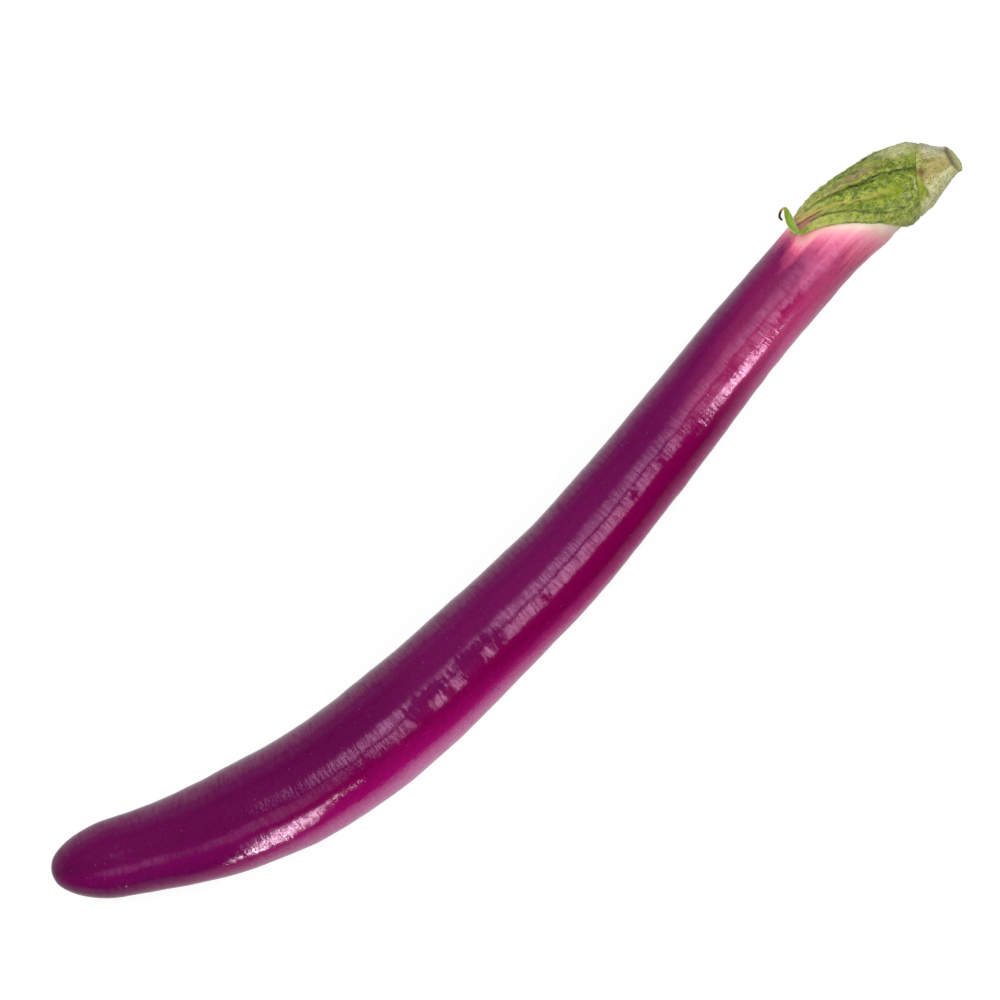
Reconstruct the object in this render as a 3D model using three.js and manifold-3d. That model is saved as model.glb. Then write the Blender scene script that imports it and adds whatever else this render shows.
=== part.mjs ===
// A long slender eggplant, as picked, lying on its side. Millimetres, +Z up.
// Three pieces: the fruit, the calyx (a cap of fused sepals with pointed lobes) and the cut stem.
// Each is a closed skin of rings that are set out along one bent centre line.
import * as THREE from "three";
import { mergeVertices } from "three/addons/utils/BufferGeometryUtils.js";
import Module from "manifold-3d";

const wasm = await Module();
wasm.setup();

// ---- Driving dimensions ----

// The centre line from the blossom end to the cut stem: x, y, z and the fruit's radius there.
// At three low points z is less than the radius: there the fruit has a small flat to lie on.
const STATIONS = [
  [0, 3.4, 12.6, 10.7],
  [30, -10.7, 12.95, 13.4],
  [60, -20.8, 16.7, 16.4],
  [90, -26.4, 17.7, 17.2],
  [120, -26.9, 17.4, 17.1],
  [150, -24.8, 15.7, 16.15],
  [180, -21.7, 15.5, 15.2],
  [210, -16.6, 14.75, 14.2],
  [240, -10.2, 13.7, 13.43],
  [270, -3.3, 12.3, 12.7],
  [300, 2.3, 12.85, 12.35],
  [318, 5.1, 14.4, 12.6],
  [332, 4.6, 15.5, 12.4],
  [345, 3.3, 16.1, 12.2],
  [354, 0.9, 16.5, 12.0],
  [360, -0.6, 16.7, 12.0],
];
const BLOSSOM_CAP = 20; // length over which the blossom end rounds off
const FRUIT_END = 21; // where the fruit ends inside the calyx, measured back from the cut stem
const NECK_CAP = 16; // length over which that hidden end rounds off

// Faint facets of the skin: how many round it, their height as a share of the radius,
// the phase, and the length over which they turn by a radian.
const FACETS = [
  [3, 0.006, 0.9, 90],
  [5, 0.004, 0, -70],
];

// Swellings of the skin: distance along the centre line, side (degrees), height, half length.
const SWELLINGS = [
  [50, 0, -0.35, 14],
  [52, 180, 0.4, 14],
  [82, 180, 0.4, 10],
  [80, 20, -0.35, 12],
  [110, 100, 0.3, 16],
  [195, 180, 0.3, 16],
  [193, 0, -0.3, 12],
  [235, 70, 0.25, 18],
];

// Outer radius of stem and calyx at a distance back from the cut stem.
const CAP_PROFILE = [
  [0, 4.2],
  [3, 4.6],
  [6, 6.1],
  [9.5, 8.5],
  [13.5, 10.7],
  [17, 11.7],
  [20, 12.4],
  [24, 13.1],
  [29, 13.1],
  [36, 13.1],
];
// How much less that radius is on the far side, where the calyx lies closer to the fruit.
const FAR_SIDE = [
  [0, 0],
  [14, 0],
  [17, 0.6],
  [21, 0.75],
  [25, 1.2],
  [29, 2.2],
  [36, 2.2],
];
// The stem meets the calyx on a slanting seam, further back on the far side than on the long side.
const CROWN = { back: 15.6, slant: 5 };
const SEAM = 0.4; // clearance between the pieces
const WALL = 0.8; // thickness of the sepals at their edge
const FLARE = 6; // length over which a sepal's edge can stand off the fruit
const RIM_INSET = 0.3; // by which the inner edge of a sepal ends before the outer one

// The sepals lean to one side: how far their ribs have swept round the fruit at a distance back,
// and the share of it that holds for a rib on the long side, and how much more on the far side.
const SWEEP = [
  [16, 0],
  [24, 0.08],
  [32, 0.37],
  [40, 0.77],
  [48, 1.19],
  [56, 1.5],
];
const SWEEP_SHARE = { near: 0.765, more: 0.375 };

// Sepal lobes round the calyx, in degrees from the long side: where each begins, peaks and ends,
// how far its tip and the notch after it lie from the cut stem, how blunt it is,
// and how high its last edge stands.
const LOBES = [
  { from: 5, peak: 52, to: 70, tip: 52, notch: 49, blunt: 1.5, lap: 0.7 },
  { from: 70, peak: 88, to: 103, tip: 51.5, notch: 43.4, blunt: 4, lap: 0 },
  { from: 103, peak: 133.5, to: 137, tip: 53.5, notch: 33.2, blunt: 1.4, lap: 0.3 },
  { from: 137, peak: 143, to: 184, tip: 31.2, notch: 26, blunt: 0.7, lap: 0.4 },
  { from: 184, peak: 228, to: 246, tip: 39, notch: 30, blunt: 1.3, lap: 0.4 },
  { from: 246, peak: 282, to: 304, tip: 44, notch: 35, blunt: 1.3, lap: 0 },
  { from: 304, peak: 345, to: 365, tip: 49, notch: 44, blunt: 1.3, lap: 0.3 },
];
// How high a lobe's midrib stands and how deep the valleys between lobes are.
// The relief is full past the first distance back, and from there it fades by a share.
const RIB = { height: 0.5, valley: 0.45, full: 28, fadeFrom: 24, fadeTo: 48, fade: 0.5 };
const LAP = { from: 0.3, to: 0.8 }; // where across a lobe its last edge rises

// The dried, curling tip of the third lobe: distance back from the cut stem, then how far
// to the long side of the centre line and how far above it, and half the tip's width.
const CURL = [
  [50.1, 7.9, 11.6, 1.1],
  [51.8, 8.3, 12.6, 0.95],
  [53, 9.3, 13.4, 0.9],
  [53.1, 11, 13.7, 1],
  [52.4, 13, 13.7, 1.2],
  [51.4, 14.8, 13.4, 1.1],
  [50.6, 16.2, 13.2, 0.8],
  [50.2, 17, 13, 0.5],
  [51.1, 17.5, 12.8, 0.4],
  [52.5, 17.1, 12.5, 0.4],
  [53.3, 16.4, 12.3, 0.4],
  [53.5, 15.1, 12.2, 0.35],
];
const CURL_THICKNESS = 0.8;

// Prickles: distance back from the cut stem, angle from the long side, length.
const PRICKLES = [
  [29, 118, 2.4],
  [26, 225, 2.2],
  [31, 320, 2],
];
const PRICKLE = { radius: 0.55, root: 0.35, rise: 0.85, lean: 0.5 };

const STEM_RIBS = { count: 5, depth: 0.045, phase: 0.6, startsAt: 3 };
const CUT_SLANT = { depth: 2.1, angle: 72 }; // the cut face is set back on this side of the stem

const SIDES = { fruit: 36, stem: 30, halfLobe: 5, curl: 8, prickle: 5 };
const RINGS = { fruit: 72, stem: 14, outside: 16, inside: 14, curl: 18 };
const CROWDING = { ends: 0.75, dome: 1.6 }; // how the rings gather where the form turns quickly

// ---- The centre line ----

const { clamp, degToRad, euclideanModulo, lerp, smoothstep } = THREE.MathUtils;
const UP = new THREE.Vector3(0, 0, 1);
const curveThrough = (points) => new THREE.CatmullRomCurve3(points, false, "catmullrom", 0.5);

// A smooth curve through pairs of distance and value, as a function of the distance.
function readingOf(table) {
  const curve = new THREE.SplineCurve(table.map(([x, y]) => new THREE.Vector2(x, y)));
  const points = curve.getPoints(8 * table.length);
  return (x) => {
    const next = points.findIndex((p) => p.x > x);
    if (next < 1) return points.at(next).y;
    const [a, b] = [points[next - 1], points[next]];
    return lerp(a.y, b.y, (x - a.x) / (b.x - a.x));
  };
}

const spine = curveThrough(STATIONS.map(([x, y, z]) => new THREE.Vector3(x, y, z)));
const girth = curveThrough(STATIONS.map((station) => new THREE.Vector3(station[3], 0, 0)));
const LENGTH = spine.getLength();

// A point of the local frame at distance s: so far to the long side, and so far over the line.
function beside(s, aside, above) {
  const share = clamp(s / LENGTH, 0, 1);
  const tangent = spine.getTangentAt(share);
  const side = new THREE.Vector3().crossVectors(UP, tangent).normalize();
  const over = new THREE.Vector3().crossVectors(tangent, side);
  return spine.getPointAt(share).addScaledVector(side, aside).addScaledVector(over, above);
}

// The same by radius and angle, which runs from the long side by way of the top.
const around = (s, angle, radius) => beside(s, radius * Math.cos(angle), radius * Math.sin(angle));

// ---- Shapes ----

// A closed skin: its first and last rings are single points, and place gives each vertex.
// Every four-sided patch is split along its shorter diagonal.
function moulded(rings, sides, place) {
  const points = [place(0, 0)];
  for (let ring = 1; ring < rings; ring++) {
    for (let side = 0; side < sides; side++) points.push(place(ring, side));
  }
  points.push(place(rings, 0));
  const last = points.length - 1;
  const at = (ring, side) => 1 + (ring - 1) * sides + (side % sides);
  const index = [];
  for (let side = 0; side < sides; side++) {
    index.push(0, at(1, side), at(1, side + 1));
    for (let ring = 1; ring < rings - 1; ring++) {
      const [a, b] = [at(ring, side), at(ring, side + 1)];
      const [c, d] = [at(ring + 1, side), at(ring + 1, side + 1)];
      const cutFromA = points[a].distanceTo(points[d]) < points[b].distanceTo(points[c]);
      index.push(...(cutFromA ? [a, c, d, a, d, b] : [a, c, b, c, d, b]));
    }
    index.push(last, at(rings - 1, side + 1), at(rings - 1, side));
  }
  return new THREE.BufferGeometry().setFromPoints(points).setIndex(index);
}

function toSolid(geometry) {
  const mesh = new wasm.Mesh({
    numProp: 3,
    vertProperties: geometry.attributes.position.array,
    triVerts: new Uint32Array(geometry.index.array),
  });
  return new wasm.Manifold(mesh);
}

function toGeometry(solid) {
  const mesh = solid.getMesh();
  const geometry = new THREE.BufferGeometry();
  geometry.setAttribute("position", new THREE.BufferAttribute(mesh.vertProperties, 3));
  geometry.setIndex(new THREE.BufferAttribute(mesh.triVerts, 1));
  return geometry;
}

// 0 at a rounded end, rising to 1 at a length from it.
function rounded(fromEnd, length) {
  const short = clamp(1 - fromEnd / length, 0, 1);
  return Math.sqrt(1 - short * short);
}

function fruitRadius(s, angle) {
  const base = girth.getPoint(spine.getUtoTmapping(clamp(s / LENGTH, 0, 1))).x;
  const facets = FACETS.reduce((sum, [count, height, phase, turn]) => {
    return sum + height * Math.cos(count * angle + phase + s / turn);
  }, 0);
  const swelling = SWELLINGS.reduce((sum, [at, side, height, half]) => {
    const round = 0.5 + 0.5 * Math.cos(angle - degToRad(side));
    return sum + height * Math.exp(-(((s - at) / half) ** 2)) * round ** 2;
  }, 0);
  const caps = rounded(s, BLOSSOM_CAP) * rounded(LENGTH - FRUIT_END - s, NECK_CAP);
  return (base * (1 + facets) + swelling) * caps;
}

function makeFruit() {
  const end = LENGTH - FRUIT_END;
  return moulded(RINGS.fruit, SIDES.fruit, (ring, side) => {
    // Rings crowd towards the two rounded ends.
    const t = ring / RINGS.fruit;
    const s = end * (1 - t + (CROWDING.ends * Math.sin(2 * Math.PI * t)) / (2 * Math.PI));
    const angle = (2 * Math.PI * side) / SIDES.fruit;
    const p = around(s, angle, fruitRadius(s, angle));
    p.z = Math.max(p.z, 0);
    return p;
  });
}

const capProfile = readingOf(CAP_PROFILE);
const farSide = readingOf(FAR_SIDE);
const sweep = readingOf(SWEEP);

// 0 on the long side, 1 on the far side.
const farness = (angle) => 0.5 - 0.5 * Math.cos(angle);
const capRadius = (back, angle) => capProfile(back) - farSide(back) * farness(angle) ** 2;
const crownAt = (angle) => CROWN.back - CROWN.slant * Math.cos(angle);

function makeStem() {
  const rim = RINGS.stem - 1;
  return moulded(RINGS.stem, SIDES.stem, (ring, side) => {
    const angle = (2 * Math.PI * side) / SIDES.stem;
    const cut = CUT_SLANT.depth * Math.cos(angle - degToRad(CUT_SLANT.angle));
    if (ring === 0) return around(LENGTH - CUT_SLANT.depth, 0, 0);
    if (ring > rim) return around(LENGTH - CROWN.back, 0, 0);
    const t = (ring - 1) / (rim - 1);
    const back = lerp(CUT_SLANT.depth + cut, crownAt(angle), t);
    const wave = STEM_RIBS.depth * Math.cos(STEM_RIBS.count * angle + STEM_RIBS.phase);
    const rib = wave * (1 - t) * Math.min(1, back / STEM_RIBS.startsAt);
    return around(LENGTH - back, angle, capRadius(back, angle) * (1 + rib));
  });
}

// Where a rib that starts at an angle from the long side has swept to, at a distance from the cut.
function swept(start, back) {
  const turn = euclideanModulo(start + Math.PI, 2 * Math.PI) - Math.PI;
  const closing = Math.exp(-sweep(back) * (SWEEP_SHARE.near + SWEEP_SHARE.more * farness(turn)));
  return 2 * Math.atan2(Math.sin(turn / 2) * closing, Math.cos(turn / 2));
}

// A rib of the calyx: the angle it starts at, how far it reaches, and how high it stands.
function calyxRib(column) {
  const index = Math.floor(column / (2 * SIDES.halfLobe));
  const lobe = LOBES[index];
  const before = LOBES.at(index - 1);
  const across = (column % (2 * SIDES.halfLobe)) / SIDES.halfLobe - 1; // -1 to 0 at the peak to 1
  const off = Math.abs(across);
  const start = across < 0 ? lerp(lobe.peak, lobe.from, off) : lerp(lobe.peak, lobe.to, off);
  const notch = across < 0 ? before.notch : lobe.notch;
  const lapping = across > 0 ? lobe.lap * smoothstep(off, LAP.from, LAP.to) : 0;
  return {
    start: degToRad(start),
    reach: notch + (lobe.tip - notch) * (1 - off ** lobe.blunt),
    height: RIB.height * (1 - off) - RIB.valley * off ** 4 + lapping,
  };
}

function makeCup() {
  const ribs = Array.from({ length: LOBES.length * 2 * SIDES.halfLobe }, (_, i) => calyxRib(i));
  const rings = RINGS.outside + RINGS.inside;
  const apex = FRUIT_END - SEAM;
  const bed = (back, angle) => fruitRadius(LENGTH - back - SEAM, angle) + SEAM;

  function outside(back, start, height) {
    const angle = swept(start, back);
    const fade = 1 - RIB.fade * smoothstep(back, RIB.fadeFrom, RIB.fadeTo);
    const grown = height * smoothstep(back, crownAt(start), RIB.full) * fade;
    return Math.max(bed(back, angle) + WALL, capRadius(back, angle)) + grown;
  }

  return moulded(rings, ribs.length, (ring, side) => {
    const { start, reach, height } = ribs[side];
    const crown = crownAt(start) + SEAM;
    if (ring === 0) return around(LENGTH - CROWN.back - SEAM, 0, 0);
    if (ring === rings) return around(LENGTH - apex, 0, 0);
    if (ring <= RINGS.outside) {
      const back = lerp(crown, reach, (ring - 1) / (RINGS.outside - 1));
      return around(LENGTH - back, swept(start, back), outside(back, start, height));
    }
    const t = (ring - RINGS.outside - 1) / (RINGS.inside - 1);
    const back = lerp(apex, reach - RIM_INSET, (1 - t) ** CROWDING.dome);
    const angle = swept(start, back);
    const standOff = outside(back, start, height) - WALL - bed(back, angle);
    const flare = Math.max(0, standOff) * smoothstep(back, reach - FLARE, reach);
    return around(LENGTH - back, angle, bed(back, angle) + flare);
  });
}

function makeCurl() {
  const path = curveThrough(CURL.map(([back, aside, above]) => beside(LENGTH - back, aside, above)));
  const width = curveThrough(CURL.map((station) => new THREE.Vector3(station[3], 0, 0)));
  return moulded(RINGS.curl, SIDES.curl, (ring, side) => {
    const t = clamp((ring - 1) / (RINGS.curl - 2), 0, 1);
    const pole = ring === 0 || ring === RINGS.curl;
    const tangent = path.getTangent(t);
    const flat = new THREE.Vector3().crossVectors(UP, tangent).normalize();
    const over = new THREE.Vector3().crossVectors(tangent, flat);
    const angle = (-2 * Math.PI * side) / SIDES.curl;
    const [wide, thick] = pole ? [0, 0] : [width.getPoint(t).x, CURL_THICKNESS / 2];
    return path
      .getPoint(t)
      .addScaledVector(flat, wide * Math.cos(angle))
      .addScaledVector(over, thick * Math.sin(angle));
  });
}

function makePrickle([back, degrees, length]) {
  const angle = degToRad(degrees);
  const skin = capRadius(back, angle);
  const root = around(LENGTH - back, angle, skin - PRICKLE.root);
  const tip = around(LENGTH - back - PRICKLE.lean * length, angle, skin + PRICKLE.rise * length);
  const height = root.distanceTo(tip);
  const cone = new THREE.ConeGeometry(PRICKLE.radius, height, SIDES.prickle);
  cone.translate(0, height / 2, 0);
  const upright = new THREE.Vector3(0, 1, 0);
  const lean = new THREE.Quaternion().setFromUnitVectors(upright, tip.clone().sub(root).normalize());
  cone.applyQuaternion(lean).translate(root.x, root.y, root.z);
  cone.deleteAttribute("normal");
  cone.deleteAttribute("uv");
  return mergeVertices(cone, 1e-4);
}

function makeCalyx() {
  const grown = [makeCup(), makeCurl(), ...PRICKLES.map(makePrickle)];
  return toGeometry(wasm.Manifold.union(grown.map(toSolid)));
}

// ---- The assembly ----

const FRUIT_SKIN = new THREE.MeshStandardMaterial({ color: 0x5c0a3f, roughness: 0.25, metalness: 0 });
const SEPAL_GREEN = new THREE.MeshStandardMaterial({ color: 0x6f9440, roughness: 0.7, metalness: 0 });
const STALK_TAN = new THREE.MeshStandardMaterial({ color: 0xa89b68, roughness: 0.8, metalness: 0 });

function piece(name, geometry, material) {
  const mesh = new THREE.Mesh(geometry, material);
  mesh.name = name;
  return mesh;
}

const eggplant = new THREE.Group();
eggplant.add(
  piece("fruit", makeFruit(), FRUIT_SKIN),
  piece("calyx", makeCalyx(), SEPAL_GREEN),
  piece("stem", makeStem(), STALK_TAN),
);

// The origin is the middle of the footprint, on the surface that the fruit lies on.
const middle = new THREE.Box3().setFromObject(eggplant).getCenter(new THREE.Vector3());
eggplant.position.set(-middle.x, -middle.y, 0);

export default eggplant;
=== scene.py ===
"""A long slender eggplant on a white studio table: the looks, laid over its CAD solids."""

import math

import bpy
import numpy as np
from mathutils import Matrix, Vector
from mathutils.kdtree import KDTree


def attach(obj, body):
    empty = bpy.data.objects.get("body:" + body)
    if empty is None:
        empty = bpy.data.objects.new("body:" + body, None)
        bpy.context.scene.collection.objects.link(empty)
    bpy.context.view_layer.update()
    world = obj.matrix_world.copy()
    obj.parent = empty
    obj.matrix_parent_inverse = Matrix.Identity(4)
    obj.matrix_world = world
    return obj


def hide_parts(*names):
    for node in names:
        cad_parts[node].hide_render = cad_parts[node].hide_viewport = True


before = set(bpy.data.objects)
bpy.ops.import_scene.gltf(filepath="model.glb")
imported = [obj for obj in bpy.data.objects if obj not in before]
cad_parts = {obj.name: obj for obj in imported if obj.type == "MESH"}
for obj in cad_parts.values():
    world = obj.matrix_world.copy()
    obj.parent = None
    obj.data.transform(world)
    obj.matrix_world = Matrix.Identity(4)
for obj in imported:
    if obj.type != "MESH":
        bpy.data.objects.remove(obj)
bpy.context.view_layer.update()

MM = 0.001
TURN = 2 * math.pi
MIDDLE = np.array([179.79, -11.55, 0.0])  # the part's origin, in the centre line's frame

# ---- Driving dimensions, as in the solids (millimetres, degrees) ----

# The centre line from the blossom end to the cut stem: x, y, z and the fruit's radius there.
STATIONS = np.array([
    [0, 3.4, 12.6, 10.7], [30, -10.7, 12.95, 13.4], [60, -20.8, 16.7, 16.4], [90, -26.4, 17.7, 17.2],
    [120, -26.9, 17.4, 17.1], [150, -24.8, 15.7, 16.15], [180, -21.7, 15.5, 15.2], [210, -16.6, 14.75, 14.2],
    [240, -10.2, 13.7, 13.43], [270, -3.3, 12.3, 12.7], [300, 2.3, 12.85, 12.35], [318, 5.1, 14.4, 12.6],
    [332, 4.6, 15.5, 12.4], [345, 3.3, 16.1, 12.2], [354, 0.9, 16.5, 12.0], [360, -0.6, 16.7, 12.0],
])
BLOSSOM_CAP = 20  # length over which the blossom end rounds off
FRUIT_END = 21  # where the fruit ends inside the calyx, measured back from the cut stem
NECK_CAP = 16  # length over which that hidden end rounds off
# Faint facets of the skin: how many, height as a share of the radius, phase, length of a turn by a radian.
FACETS = [(3, 0.006, 0.9, 90), (5, 0.004, 0, -70)]
# Swellings of the skin: distance along, side, height, half length.
SWELLINGS = [
    (50, 0, -0.35, 14), (52, 180, 0.4, 14), (82, 180, 0.4, 10), (80, 20, -0.35, 12),
    (110, 100, 0.3, 16), (195, 180, 0.3, 16), (193, 0, -0.3, 12), (235, 70, 0.25, 18),
]
# Outer radius of stem and calyx at a distance back from the cut stem, and how much less on the far side.
CAP_PROFILE = np.array([
    [0, 4.2], [3, 4.6], [6, 6.1], [9.5, 8.5], [13.5, 10.7],
    [17, 11.7], [20, 12.4], [24, 13.1], [29, 13.1], [36, 13.1],
])
FAR_SIDE = np.array([[0, 0], [14, 0], [17, 0.6], [21, 0.75], [25, 1.2], [29, 2.2], [36, 2.2]])
CROWN_BACK, CROWN_SLANT = 15.6, 5  # the slanting seam on which the stem meets the calyx
SEAM = 0.4  # clearance between the pieces
WALL = 0.8  # thickness of the sepals at their edge
FLARE = 6  # length over which a sepal's edge can stand off the fruit
# How far the sepals' ribs have swept round the fruit at a distance back, and the shares of it by side.
SWEEP = np.array([[16, 0], [24, 0.08], [32, 0.37], [40, 0.77], [48, 1.19], [56, 1.5]])
SWEEP_NEAR, SWEEP_MORE = 0.765, 0.375
# Sepal lobes round the calyx: where each begins, peaks and ends, how far its tip and the notch after it
# lie from the cut stem, how blunt it is, and how high its last edge stands.
LOBES = [
    dict(first=5, peak=52, last=70, tip=52, notch=49, blunt=1.5, lap=0.7),
    dict(first=70, peak=88, last=103, tip=51.5, notch=43.4, blunt=4, lap=0),
    dict(first=103, peak=133.5, last=137, tip=53.5, notch=33.2, blunt=1.4, lap=0.3),
    dict(first=137, peak=143, last=184, tip=31.2, notch=26, blunt=0.7, lap=0.4),
    dict(first=184, peak=228, last=246, tip=39, notch=30, blunt=1.3, lap=0.4),
    dict(first=246, peak=282, last=304, tip=44, notch=35, blunt=1.3, lap=0),
    dict(first=304, peak=345, last=365, tip=49, notch=44, blunt=1.3, lap=0.3),
]
LAP_FROM, LAP_TO = 0.3, 0.8  # where across a lobe its last edge rises
# How high a lobe's midrib stands, how deep the valleys are, and where that relief is full and fades.
RIB_HEIGHT, RIB_VALLEY, RIB_FULL, FADE_FROM, FADE_TO, FADE = 0.5, 0.45, 28, 24, 48, 0.5
# The curling tip of the third lobe: distance back from the cut stem, aside, above, half width.
CURL = np.array([
    [50.1, 7.9, 11.6, 1.1], [51.8, 8.3, 12.6, 0.95], [53, 9.3, 13.4, 0.9], [53.1, 11, 13.7, 1],
    [52.4, 13, 13.7, 1.2], [51.4, 14.8, 13.4, 1.1], [50.6, 16.2, 13.2, 0.8], [50.2, 17, 13, 0.5],
    [51.1, 17.5, 12.8, 0.4], [52.5, 17.1, 12.5, 0.4], [53.3, 16.4, 12.3, 0.4], [53.5, 15.1, 12.2, 0.35],
])
CURL_THICKNESS = 0.8
PRICKLES = [(29, 118, 2.4), (26, 225, 2.2), (31, 320, 2)]  # distance back, angle, length
PRICKLE_RADIUS, PRICKLE_ROOT, PRICKLE_RISE, PRICKLE_LEAN = 0.5, 0.5, 0.85, 0.5
CUT_DEPTH, CUT_ANGLE = 2.1, 72  # the cut face is set back on this side of the stem
STEM_RIBS, STEM_RIB_DEPTH, STEM_RIB_PHASE, STEM_RIBS_START = 5, 0.045, 0.6, 3


# ---- The centre line ----

def catmull_rom(points, per_span=300):
    padded = np.vstack([2 * points[0] - points[1], points, 2 * points[-1] - points[-2]])
    u = np.linspace(0, len(points) - 1, per_span * (len(points) - 1) + 1)
    i = np.minimum(u.astype(int), len(points) - 2)
    t = (u - i)[:, None]
    p0, p1, p2, p3 = padded[i], padded[i + 1], padded[i + 2], padded[i + 3]
    v0, v1 = (p2 - p0) / 2, (p3 - p1) / 2
    return (2 * p1 - 2 * p2 + v0 + v1) * t**3 + (-3 * p1 + 3 * p2 - 2 * v0 - v1) * t**2 + v0 * t + p1


LINE = catmull_rom(STATIONS)
STEPS = np.r_[0, np.cumsum(np.linalg.norm(np.diff(LINE[:, :3], axis=0), axis=1))]
LENGTH = STEPS[-1]
TANGENTS = np.gradient(LINE[:, :3], axis=0)


def unit(v):
    return v / np.linalg.norm(v, axis=-1, keepdims=True)


def on_line(table, s):
    return np.stack([np.interp(s, STEPS, table[:, k]) for k in range(table.shape[1])], -1)


def beside(s, aside, above):
    tangent = unit(on_line(TANGENTS, s))
    side = unit(np.stack([-tangent[..., 1], tangent[..., 0], 0 * tangent[..., 0]], -1))
    over = np.cross(tangent, side)
    aside, above = np.asarray(aside)[..., None], np.asarray(above)[..., None]
    return on_line(LINE[:, :3], s) + side * aside + over * above


def around(s, angle, radius):
    s, angle, radius = np.broadcast_arrays(s, angle, radius)
    return beside(s, radius * np.cos(angle), radius * np.sin(angle))


def straightened(s, angle, radius):
    """The same place on a fruit that isn't bent, so that patterns run along it."""
    s, angle, radius = np.broadcast_arrays(s, angle, radius)
    return np.stack([s, radius * np.cos(angle), radius * np.sin(angle)], -1)


def smoothstep(x, low, high):
    t = np.clip((x - low) / (high - low), 0, 1)
    return t * t * (3 - 2 * t)


def window(x, low, high, close, shut):
    """Rises from low to high and falls again from close to shut."""
    return smoothstep(x, low, high) * smoothstep(-x, -shut, -close)


def rounded(from_end, length):
    return np.sqrt(1 - np.clip(1 - from_end / length, 0, 1) ** 2)


def bell(x, width):
    return np.exp(-((x / width) ** 2))


def reading(x, table):
    xs, ys = np.array(table).T
    return np.interp(x, xs, ys)


def fruit_radius(s, angle):
    facets = sum(share * np.cos(count * angle + phase + s / turn) for count, share, phase, turn in FACETS)
    swelling = sum(
        height * bell(s - at, half) * (0.5 + 0.5 * np.cos(angle - math.radians(side))) ** 2
        for at, side, height, half in SWELLINGS
    )
    caps = rounded(s, BLOSSOM_CAP) * rounded(LENGTH - FRUIT_END - s, NECK_CAP)
    return (np.interp(s, STEPS, LINE[:, 3]) * (1 + facets) + swelling) * caps


def smooth_reading(table):
    curve = catmull_rom(table, 8)
    return lambda x: np.interp(x, curve[:, 0], curve[:, 1])


cap_profile, far_side, sweep = (smooth_reading(table) for table in (CAP_PROFILE, FAR_SIDE, SWEEP))


def farness(angle):
    return 0.5 - 0.5 * np.cos(angle)


def cap_radius(back, angle):
    return cap_profile(back) - far_side(back) * farness(angle) ** 2


def crown_at(angle):
    return CROWN_BACK - CROWN_SLANT * np.cos(angle)


def swept(start, back):
    closing = np.exp(-sweep(back) * (SWEEP_NEAR + SWEEP_MORE * farness(start)))
    return 2 * np.arctan2(np.sin(start / 2) * closing, np.cos(start / 2))


def grown_rib(height, back, crown):
    fade = 1 - FADE * smoothstep(back, FADE_FROM, FADE_TO)
    return height * smoothstep(back, crown, RIB_FULL) * fade


# ---- Meshes ----

def to_frame(points):
    return (np.asarray(points).reshape(-1, 3) - MIDDLE) * MM


def put_in_scene(name, data):
    made = bpy.data.objects.new(name, data)
    bpy.context.scene.collection.objects.link(made)
    return made


def make_object(name, points, faces, attributes, uv=None):
    """faces is a list of index tuples; attributes maps a name to a value or a vector for each point."""
    mesh = bpy.data.meshes.new(name)
    mesh.from_pydata(to_frame(points).tolist(), [], faces)
    mesh.validate()
    for key, values in attributes.items():
        values = np.asarray(values, float).reshape(len(mesh.vertices), -1)
        kind, field = ("FLOAT", "value") if values.shape[1] == 1 else ("FLOAT_VECTOR", "vector")
        layer = mesh.attributes.new(key, kind, "POINT")
        layer.data.foreach_set(field, values.astype(np.float32).ravel())
    if uv is not None:
        layer = mesh.uv_layers.new(name="OFBake")
        layer.data.foreach_set("uv", np.asarray(uv, np.float32).ravel())
    mesh.polygons.foreach_set("use_smooth", [True] * len(mesh.polygons))
    return put_in_scene(name, mesh)


def round_angles(sides):
    return np.arange(sides) * TURN / sides


def closed_grid(rings, sides):
    """Faces and UVs of a closed skin: one point, rings of points, one point."""
    at = lambda ring, side: 1 + (ring - 1) * sides + (side % sides)
    last = 1 + (rings - 1) * sides
    faces, uv = [], []
    for side in range(sides):
        v0, v1 = side / sides, (side + 1) / sides
        faces.append((0, at(1, side), at(1, side + 1)))
        uv += [(0, v0), (1 / rings, v0), (1 / rings, v1)]
        for ring in range(1, rings - 1):
            faces.append((at(ring, side), at(ring + 1, side), at(ring + 1, side + 1), at(ring, side + 1)))
            u0, u1 = ring / rings, (ring + 1) / rings
            uv += [(u0, v0), (u1, v0), (u1, v1), (u0, v1)]
        faces.append((last, at(rings - 1, side + 1), at(rings - 1, side)))
        uv += [(1, v1), (1 - 1 / rings, v1), (1 - 1 / rings, v0)]
    return faces, uv


def flatten(first, rows, last):
    """The points of a closed grid, or a vector for each, in the order of its points."""
    return np.concatenate([np.atleast_2d(first), rows.reshape(-1, rows.shape[-1]), np.atleast_2d(last)])


def field(rows, first=0.0, last=0.0):
    """A value for each point of a closed grid."""
    return flatten([[first]], rows[..., None], [[last]])


def wavy(rng, s, angle, shortest, longest, turns, count):
    """A smooth random field over length and angle, of unit spread."""
    total = 0
    for _ in range(count):
        wave = TURN / rng.uniform(shortest, longest)
        turn = rng.integers(-turns, turns + 1)
        total = total + np.cos(wave * s + turn * angle + rng.uniform(0, TURN))
    return total / math.sqrt(count / 2)


def lumpy(rng, points, shortest, longest, count):
    """A smooth random field in space, of unit spread."""
    total = 0
    for _ in range(count):
        direction = unit(rng.normal(size=3)) * TURN / rng.uniform(shortest, longest)
        total = total + np.cos(points @ direction + rng.uniform(0, TURN))
    return total / math.sqrt(count / 2)


# ---- Shader building blocks; colours are sRGB values from 0 to 255 ----

def srgb(r, g, b):
    channel = lambda c: c / 12.92 if c <= 0.04045 else ((c + 0.055) / 1.055) ** 2.4
    return (channel(r / 255), channel(g / 255), channel(b / 255), 1)


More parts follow.
